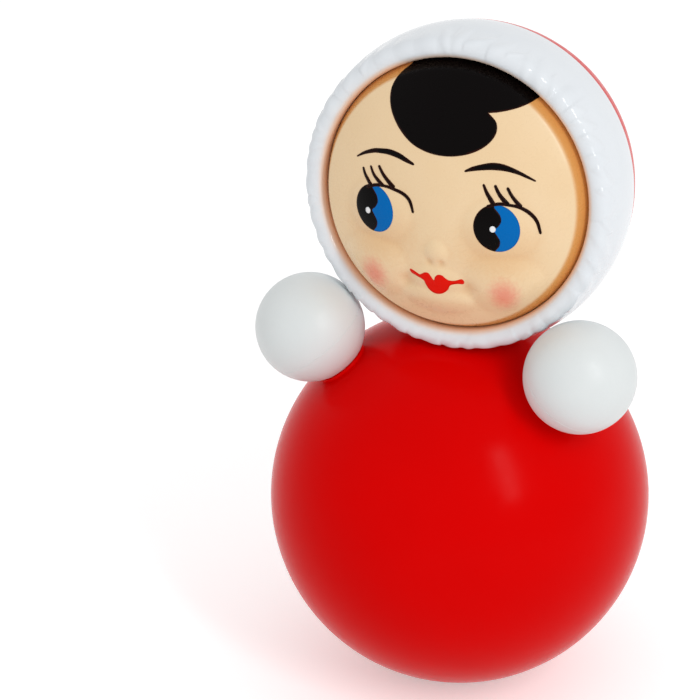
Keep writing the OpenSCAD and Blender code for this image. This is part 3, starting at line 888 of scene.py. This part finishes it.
def paint(name, outlines, material, lift):
    """A film of paint on the face, from one or more outlines."""
    bm = bmesh.new()
    for i, outline in enumerate(outlines):
        bm.from_mesh(film_mesh(outline, lift + STROKE_LIFT * i))
    film = add_object(bm, name, HEAD)
    depth = film.modifiers.new("thickness", "SOLIDIFY")
    depth.thickness = (lift + FILM_SINK) * MM
    depth.offset = -1
    return add_piece(film, material, "head", sharp=60)


# %% [markdown]
# The paints are brushed on. Each has a second tone, which shows where the edge of the film is thin, and a
# fine ripple from the brush. The marks that the plastics share serve here too, at a smaller size.

# %% Paints
def pigment(name, body, thin, gloss):
    """Paint that shows a second colour where its edge is thin."""
    material, tree, shader = new_material(name)
    marks = place_marks(tree, clouds=150.0, ripples=1500.0)
    edge = put(tree, "Attribute", attribute_name="edge").outputs["Fac"]
    worn = put(tree, "Math", {0: edge, 1: marks["Clouding"]}, operation="MULTIPLY").outputs[0]
    feed(tree, shader["Base Color"], blend_colours(tree, worn, body, thin))
    feed(tree, shader["Roughness"], remap(tree, marks["Rubbing"], 0, 1, *gloss))
    brushed = put(tree, "Bump", {"Strength": 0.06, "Distance": 0.0003, "Height": marks["Skin"]})
    feed(tree, shader["Normal"], brushed.outputs[0])
    shader["Specular IOR Level"].default_value = 0.06
    return material


BLACK = pigment("black paint", colour(4, 1, 1), colour(74, 24, 8), gloss=(0.25, 0.4))
BLUE = pigment("blue paint", colour(0, 106, 184), colour(0, 80, 156), gloss=(0.25, 0.35))
GLINT = pigment("white paint", colour(246, 246, 246), colour(200, 205, 210), gloss=(0.3, 0.4))
LIP = pigment("lip paint", colour(232, 20, 4), colour(206, 40, 20), gloss=(0.25, 0.35))
print("paints:", BLACK.name, BLUE.name, GLINT.name, LIP.name)

# %% [markdown]
# The hair is one sweep of black with a curl on the forehead. It runs over the shoulder to the gap at the
# rim, so its outline follows the round of the rim there and needs points of its own only on the forehead.

# %% Hair
HAIR_LEFT = [
    (-15.2, 36.6), (-17.4, 34.2), (-18.9, 30.6), (-18.6, 27.0), (-16.8, 23.4), (-13.4, 19.7), (-8.8, 16.7),
    (-3.0, 15.2), (3.0, 15.3), (8.4, 16.8), (12.4, 19.4), (14.4, 22.6), (14.0, 25.6), (11.4, 27.9)]
HAIR_RIGHT = [(11.4, 27.9), (14.4, 28.4), (18.4, 29.6), (21.4, 31.0), (23.0, 32.1)]
HAIRLINE_GAP = 0.06


def hair_outline():
    """The curl up to its notch, the sweep to the right, and the round of the rim back."""
    start, end = (math.degrees(math.atan2(x, y)) for x, y in (HAIR_RIGHT[-1], HAIR_LEFT[0]))
    rim = arc((0, 0), FACE_R - HAIRLINE_GAP, start, end, steps=120)
    return flowing(HAIR_LEFT)[:-1] + flowing(HAIR_RIGHT)[:-1] + [Vector((*p, 0)) for p in rim]


paint("hair", [hair_outline()], BLACK, lift=0.1)

# %% [markdown]
# The brows are strokes of the brush, thin at both ends. An outline would need two lines that agree, so each
# brow is drawn as one line that carries its own width.

# %% Brows
BROWS = {
    "left": [
        (-27.1, 9.7, 0.35), (-24.6, 11.3, 0.8), (-21.5, 12.6, 1.1), (-18.8, 13.1, 1.25), (-16.0, 13.3, 1.45),
        (-13.0, 12.9, 1.4), (-10.4, 12.1, 1.1), (-8.1, 11.4, 0.6)],
    "right": [
        (7.4, 11.8, 0.5), (9.5, 12.7, 1.1), (12.0, 13.4, 1.5), (14.6, 13.9, 1.8), (17.1, 13.9, 1.7),
        (19.4, 13.5, 1.35), (22.0, 12.7, 0.95), (24.4, 11.7, 0.7), (26.6, 10.7, 0.4)],
}
for name, brow in BROWS.items():
    paint(f"brow_{name}", [stroke(brow, load=1.12)], BLACK, lift=0.08)

# %% [markdown]
# The eyes glance to one side, so both are the same drawing and not mirrored ones: a blue oval, a black
# pupil that fills its left side and pinches in at the glint, a lid line that sweeps down on the right,
# and three lashes.

# %% Eyes
IRIS_A, IRIS_B, IRIS_LEAN = 6.35, 7.05, math.radians(20)
GLINT_A, GLINT_B = 0.85, 0.95
PUPIL_EDGE = [
    (-0.9, 6.0), (0.8, 4.2), (1.3, 2.4), (0.6, 0.8), (-0.5, -0.4), (0.2, -1.6), (1.2, -3.4), (1.0, -5.2),
    (-0.1, -6.7)]
PUPIL_SIDE = (203, 371)
EYES = {
    "left": {
        "middle": (-19.7, -3.8), "glint": (-21.7, -4.7),
        "lid": [(-22.4, 2.0, 0.9), (-19.6, 3.2, 0.9), (-16.4, 3.5, 0.8), (-13.2, 3.1, 0.9), (-10.4, 2.3, 1.0),
                (-8.4, 0.7, 1.0), (-7.2, -2.4, 0.7)],
        "lashes": [[(-24.6, 7.0, 0.5), (-23.6, 5.0, 0.7), (-21.4, 2.8, 0.9)],
                   [(-22.0, 8.0, 0.5), (-20.6, 5.7, 0.7), (-17.4, 3.5, 0.9)],
                   [(-19.2, 8.7, 0.6), (-17.3, 6.3, 0.8), (-13.8, 3.6, 1.0)]],
    },
    "right": {
        "middle": (17.5, -3.6), "glint": (16.6, -3.7),
        "lid": [(14.6, 2.6, 0.9), (17.5, 3.6, 0.9), (20.4, 3.5, 0.8), (23.2, 3.0, 0.9), (25.8, 1.6, 1.0),
                (27.9, -0.8, 0.9), (29.0, -4.3, 0.7)],
        "lashes": [[(12.9, 8.6, 0.5), (14.2, 6.0, 0.8), (16.2, 3.3, 1.0)],
                   [(16.1, 8.6, 0.6), (17.6, 6.0, 0.8), (20.0, 3.6, 1.0)],
                   [(19.5, 8.2, 0.6), (21.0, 5.8, 0.7), (23.4, 3.2, 0.9)]],
    },
}


def oval(middle, wide, high, lean=0.0, start=0, end=360, steps=120):
    """Points of a leaning oval, from one angle to another, in degrees from its top."""
    turn = Matrix.Rotation(lean, 2)
    points = arc((0, 0), 1, start, end, steps)
    return [turn @ Vector((x * wide, y * high)) + Vector(middle) for x, y in points]


def pupil_outline(middle):
    """The pinched edge towards the blue, closed along the left side of the iris."""
    edge = [p.to_2d() + Vector(middle) for p in flowing(PUPIL_EDGE)]
    return edge + oval(middle, IRIS_A, IRIS_B, IRIS_LEAN, *PUPIL_SIDE, steps=60)


for name, eye in EYES.items():
    lines = [stroke(eye["lid"])] + [stroke(lash, load=1.3) for lash in eye["lashes"]]
    paint(f"iris_{name}", [oval(eye["middle"], IRIS_A, IRIS_B, IRIS_LEAN)[:-1]], BLUE, lift=0.06)
    paint(f"pupil_{name}", [pupil_outline(eye["middle"])], BLACK, lift=0.1)
    paint(f"glint_{name}", [oval(eye["glint"], GLINT_A, GLINT_B, steps=32)[:-1]], GLINT, lift=0.14)
    paint(f"lashes_{name}", lines, BLACK, lift=0.12)

# %% [markdown]
# The lips are one touch of red with a bow above, a full lower lip and two drawn-out corners. A closed
# smooth line through a few points gives the soft outline that a loaded brush leaves.

# %% Lips
LIPS = [
    (-8.1, -20.2), (-6.3, -20.6), (-4.9, -21.1), (-4.1, -20.7), (-3.1, -20.1), (-2.0, -20.1), (-1.2, -20.9),
    (-0.3, -22.0), (0.1, -20.9), (0.9, -20.1), (2.2, -20.1), (3.1, -20.8), (4.3, -21.4), (5.9, -21.3),
    (7.6, -20.7), (8.3, -21.4), (8.0, -22.3), (6.7, -22.3), (5.2, -22.6), (4.3, -23.2), (3.6, -24.7),
    (1.9, -26.1), (-0.2, -26.4), (-2.1, -25.4), (-3.0, -23.8), (-3.6, -22.6), (-5.6, -21.9), (-7.7, -21.3)]
paint("lips", [flowing(LIPS, closed=True)], LIP, lift=0.08)

# %% [markdown]
# ## Hands and sleeves
# Each hand is a ball of two halves that turns on a short red sleeve. Both are spun about the arm's own
# axis, which is the axis of the hand's joint. The halves meet in a hairline, so their edges are eased a
# little, as a mould eases them, and the groove shows as a fine line.

# %% Sections of the arms
HAND_R = 16.4
HAND_WALL = 2.0
HUB_T = 3.0
POST_R = 4.0
POST_FIT = 0.05
END_PLAY = 0.5
SPIGOT_R = 6.5
SPIGOT_FIT = 0.03
SLEEVE_EASE = 0.4
SEAM_EASE = 0.12
PLUG_R = 2.03
PLUG_DEPTH = 5.2


def arm_sections(side):
    """Sections of the sleeve and of the two halves of the hand, from the middle of the body."""
    joint = JOINT[f"hand_{side}_turn"]
    axis, middle = Vector(joint["axis"]).normalized(), Vector(joint["pos_m"])
    face_h = span(f"hand_inner_{side}", axis, middle)[0]
    seam_h, end_h = span(f"hand_outer_{side}", axis, middle)
    spigot_h, post_h = span(f"sleeve_{side}", axis, middle)
    ball = (0, end_h - HAND_R)
    at_face, at_seam = (angle_at(h - ball[1], HAND_R) for h in (face_h, seam_h))
    ease = math.degrees(SEAM_EASE / HAND_R)
    sleeve_r = HAND_R * math.sin(math.radians(at_face))
    top_h = post_h - HUB_T - END_PLAY
    seam_r = HAND_R * math.sin(math.radians(at_seam)) - SEAM_EASE
    inner_r = HAND_R - HAND_WALL
    inside = angle_at(seam_h - ball[1], inner_r)
    on_body = [math.degrees(math.asin(r / BODY_R)) for r in (SPIGOT_R, sleeve_r)]
    sleeve = [(0, spigot_h), (SPIGOT_R, spigot_h)] + arc((0, 0), BODY_R, *on_body, steps=8)
    sleeve += arc((sleeve_r - SLEEVE_EASE, top_h - SLEEVE_EASE), SLEEVE_EASE, 90, 0, steps=6)
    sleeve += [(POST_R, top_h), (POST_R, post_h), (PLUG_R, post_h), (PLUG_R, post_h - PLUG_DEPTH)]
    sleeve += [(0, post_h - PLUG_DEPTH)]
    inner = arc(ball, HAND_R, at_face, at_seam + ease, steps=24) + [(seam_r, seam_h)]
    inner += arc(ball, inner_r, inside, angle_at(face_h + HUB_T - ball[1], inner_r), steps=8)
    inner += [(POST_R + POST_FIT, face_h + HUB_T), (POST_R + POST_FIT, face_h)]
    outer = [(seam_r, seam_h)] + arc(ball, HAND_R, at_seam - ease, 0, steps=48)
    outer += arc(ball, inner_r, 0, inside, steps=16)
    turn = axis.to_track_quat("Z", "Y").to_matrix().to_4x4()
    return Matrix.Translation(middle) @ turn @ Matrix.Scale(MM, 4), sleeve, inner, outer


print("arms: sections from the middle of the body, spun about each hand's joint")

# %% [markdown]
# The arms mirror each other, but a mirrored copy would need its normals and its joint turned round, so each
# side is spun from its own sections. The sleeve's spigot goes through the wall of the body, so a room is cut
# there.

# %% Hands and sleeves
HAND_STEPS = 128
ROOM_FLOOR = BODY_R - 2 * SHELL_WALL

for side in ("left", "right"):
    place, sleeve_section, inner_section, outer_section = arm_sections(side)
    sleeve = add_object(lathe(sleeve_section, HAND_STEPS, closed=False), f"sleeve_{side}_skin", place)
    add_piece(sleeve, RED, "body", [f"sleeve_{side}"])
    cut_room(body_upper, SPIGOT_R + SPIGOT_FIT, ROOM_FLOOR, BODY_R + ROOM_SPARE, place, HAND_STEPS)
    for half, section in (("inner", inner_section), ("outer", outer_section)):
        shell = add_object(lathe(section, HAND_STEPS), f"hand_{half}_{side}_skin", place)
        add_piece(shell, SATIN, f"hand_{side}", [f"hand_{half}_{side}"])

# %% [markdown]
# ## What is inside
# The weight, the chime, the pivots and the screws have their true shape already, and nobody sees them
# while the doll is whole. They keep their solids and only get their finish, found by the record's slots.

# %% Finish of the inner pieces
FINISH = {"iron": IRON, "steel": STEEL, "brass": BRASS, "natural_plastic": CREAM}
for part in frame["record"]["subparts"]:
    if part["material_slot"] in FINISH:
        inner_piece = frame["nodes"][part["node"]]
        inner_piece.data.materials.clear()
        inner_piece.data.materials.append(FINISH[part["material_slot"]])
print("inner finishes:", ", ".join(FINISH))

# %% [markdown]
# ## Light and floor
# The photograph was lit from all round, as in a white room. An even white world does most of it. What the
# camera and the reflections see of that world is plain white, while the light that it sheds is kept lower,
# so that colours render as they are written.

# %% World
SKY_LIGHT = 0.72


def seen_directly(tree):
    """1 for what the camera, a reflection or a clear material sees, 0 for light that falls on things."""
    rays = put(tree, "LightPath").outputs
    seen = rays["Is Camera Ray"]
    for other in ("Is Glossy Ray", "Is Transmission Ray"):
        seen = put(tree, "Math", {0: seen, 1: rays[other]}, operation="MAXIMUM").outputs[0]
    return seen


def white_world():
    """A white room that sheds less light than it shows."""
    world = bpy.data.worlds.new("white room")
    world.use_nodes = True
    tree = world.node_tree
    strength = remap(tree, seen_directly(tree), 0, 1, SKY_LIGHT, 1.0)
    feed(tree, tree.nodes["Background"].inputs["Color"], (1, 1, 1, 1))
    feed(tree, tree.nodes["Background"].inputs["Strength"], strength)
    return world


scene.world = white_world()
print("world:", scene.world.name)

# %% [markdown]
# One lamp to the right leaves the short bright dashes on the rim, so it is narrow and tall. A point lamp
# would cast a hard shadow, an area lamp casts a soft one. The floor is white and keeps that shadow. It glows
# faintly, but only for what looks at it directly, so it sheds no light on the doll.

# %% Lamp and floor
LAMP_POWER = 3.4
FLOOR_LIFT = 0.36


def add_lamp(name, at, target, size, power):
    """A soft lamp, as wide and as tall as its size says, that points at a target."""
    lamp = bpy.data.objects.new(name, bpy.data.lights.new(name, "AREA"))
    lamp.data.shape = "RECTANGLE"
    lamp.data.size, lamp.data.size_y = size
    lamp.data.energy = power
    lamp.location = at
    lamp.rotation_euler = (Vector(target) - Vector(at)).to_track_quat("-Z", "Y").to_euler()
    scene.collection.objects.link(lamp)
    return lamp


def white_floor(reach):
    """A floor that is white to the eye and keeps shadows."""
    bm = bmesh.new()
    bmesh.ops.create_grid(bm, x_segments=2, y_segments=2, size=reach)
    floor = add_object(bm, "floor", Matrix.Identity(4))
    material, tree, shader = new_material("floor white")
    shader["Base Color"].default_value = (0.95, 0.95, 0.95, 1)
    shader["Roughness"].default_value = 0.9
    shader["Specular IOR Level"].default_value = 0.1
    shader["Emission Color"].default_value = (1, 1, 1, 1)
    feed(tree, shader["Emission Strength"], remap(tree, seen_directly(tree), 0, 1, 0.0, FLOOR_LIFT))
    floor.data.materials.append(material)
    return floor


key = add_lamp("key", at=(0.75, -0.55, 0.75), target=(0, 0, 0.11), size=(0.16, 0.6), power=LAMP_POWER)
floor = white_floor(reach=4.0)
print("lamp", round((key.location - HEAD_MID).length, 2), "m from the head")
